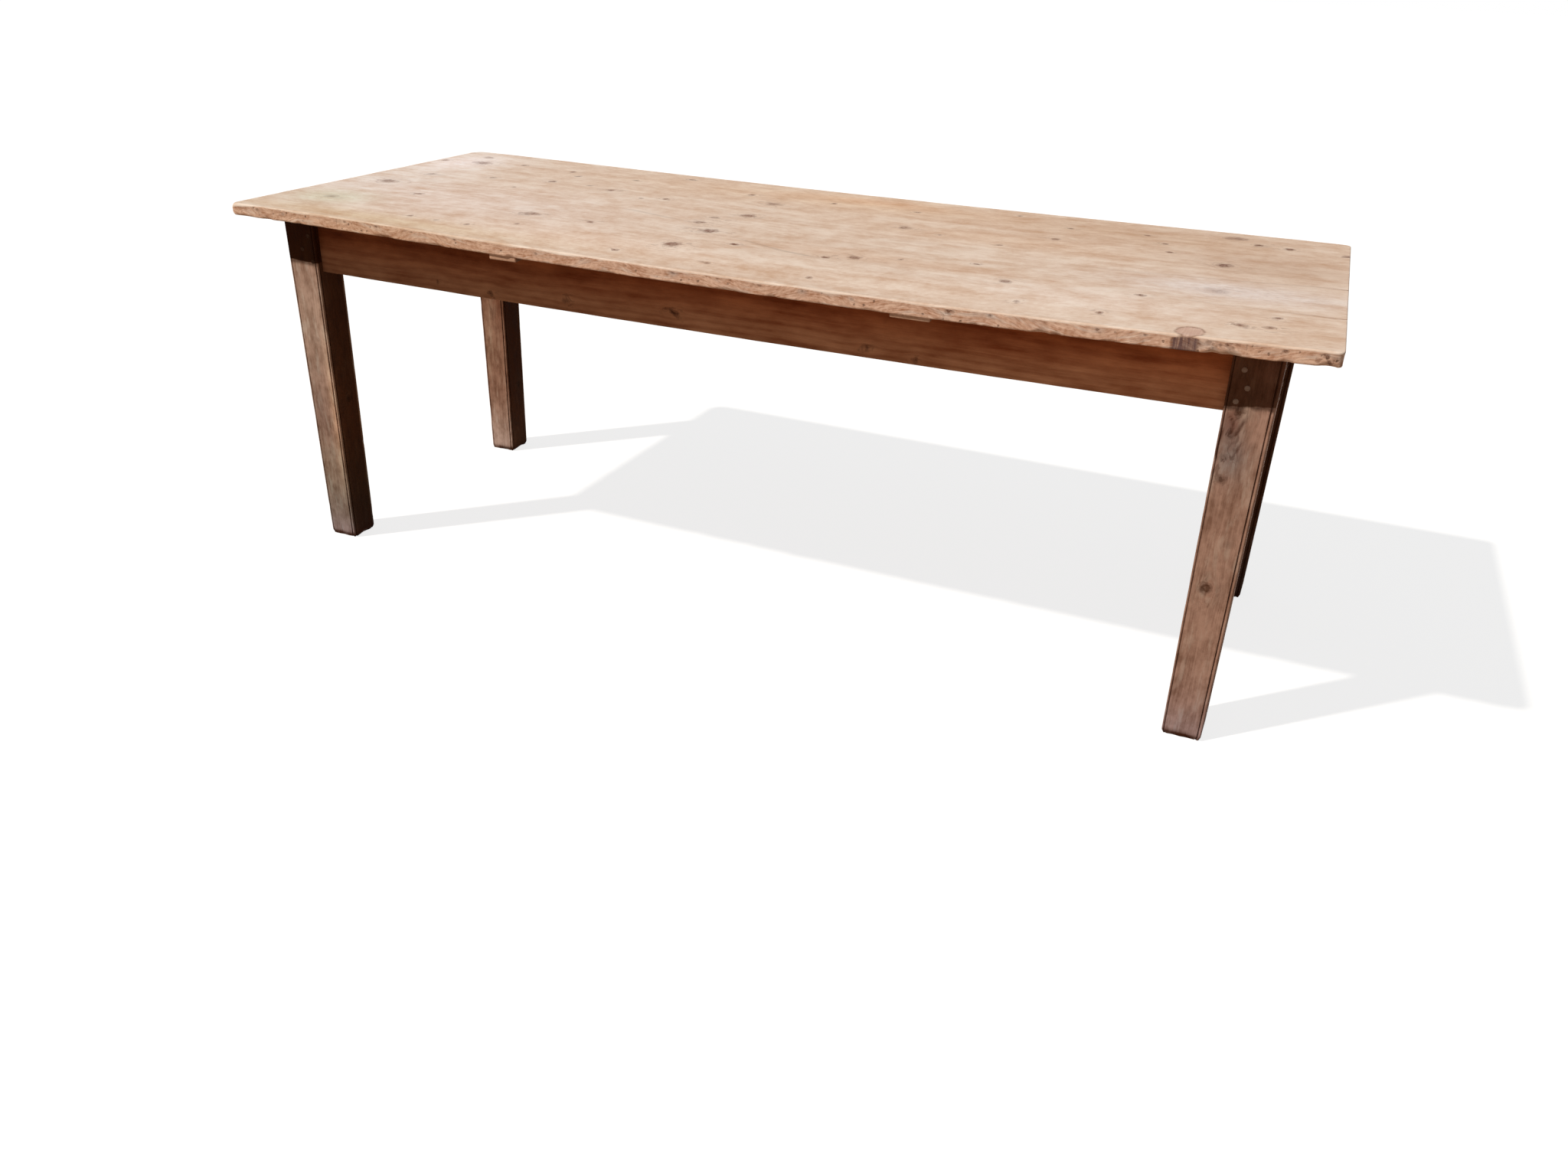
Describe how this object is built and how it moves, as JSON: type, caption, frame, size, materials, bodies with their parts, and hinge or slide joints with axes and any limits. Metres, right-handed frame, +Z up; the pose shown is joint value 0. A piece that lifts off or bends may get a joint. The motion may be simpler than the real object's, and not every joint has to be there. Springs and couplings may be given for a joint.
{
  "type": "refectory table",
  "caption": "Long refectory dining table: a wide, worn pine plank on tapered legs with beaded corners, joined by deep pegged aprons.",
  "frame": {"origin": "on the floor, under the middle of the plank", "axes": "+X along the table to the right, +Y from front to back, +Z up"},
  "size_m": [2.1715, 0.854, 0.76],
  "materials": {
    "bleached_pine": "dry, sun-bleached and bare",
    "worn_pine": "worn, greyish brown, matt",
    "stained_pine": "old brown stain, satin",
    "batten_pine": "bare, matt",
    "block_pine": "bare, matt",
    "peg_wood": "bare end grain, matt",
    "nail_iron": "dark, dull"
  },
  "bodies": {
    "root": {"back_apron": "stained_pine", "back_apron_left_pegs": "peg_wood", "back_apron_right_pegs": "peg_wood", "back_glue_block_left": "block_pine", "back_glue_block_middle": "block_pine", "back_glue_block_right": "block_pine", "back_left_leg": "worn_pine", "back_right_leg": "worn_pine", "cross_batten_left": "batten_pine", "cross_batten_right": "batten_pine", "front_apron": "stained_pine", "front_apron_left_pegs": "peg_wood", "front_apron_right_pegs": "peg_wood", "front_glue_block_left": "block_pine", "front_glue_block_middle": "block_pine", "front_glue_block_right": "block_pine", "front_left_leg": "worn_pine", "front_right_leg": "worn_pine", "left_batten_nails": "nail_iron", "left_end_apron": "stained_pine", "left_end_apron_back_pegs": "peg_wood", "left_end_apron_front_pegs": "peg_wood", "left_end_glue_block": "block_pine", "right_batten_nails": "nail_iron", "right_end_apron": "stained_pine", "right_end_apron_back_pegs": "peg_wood", "right_end_apron_front_pegs": "peg_wood", "right_end_glue_block": "block_pine", "top_plank": "bleached_pine"}
  },
  "joints": []
}
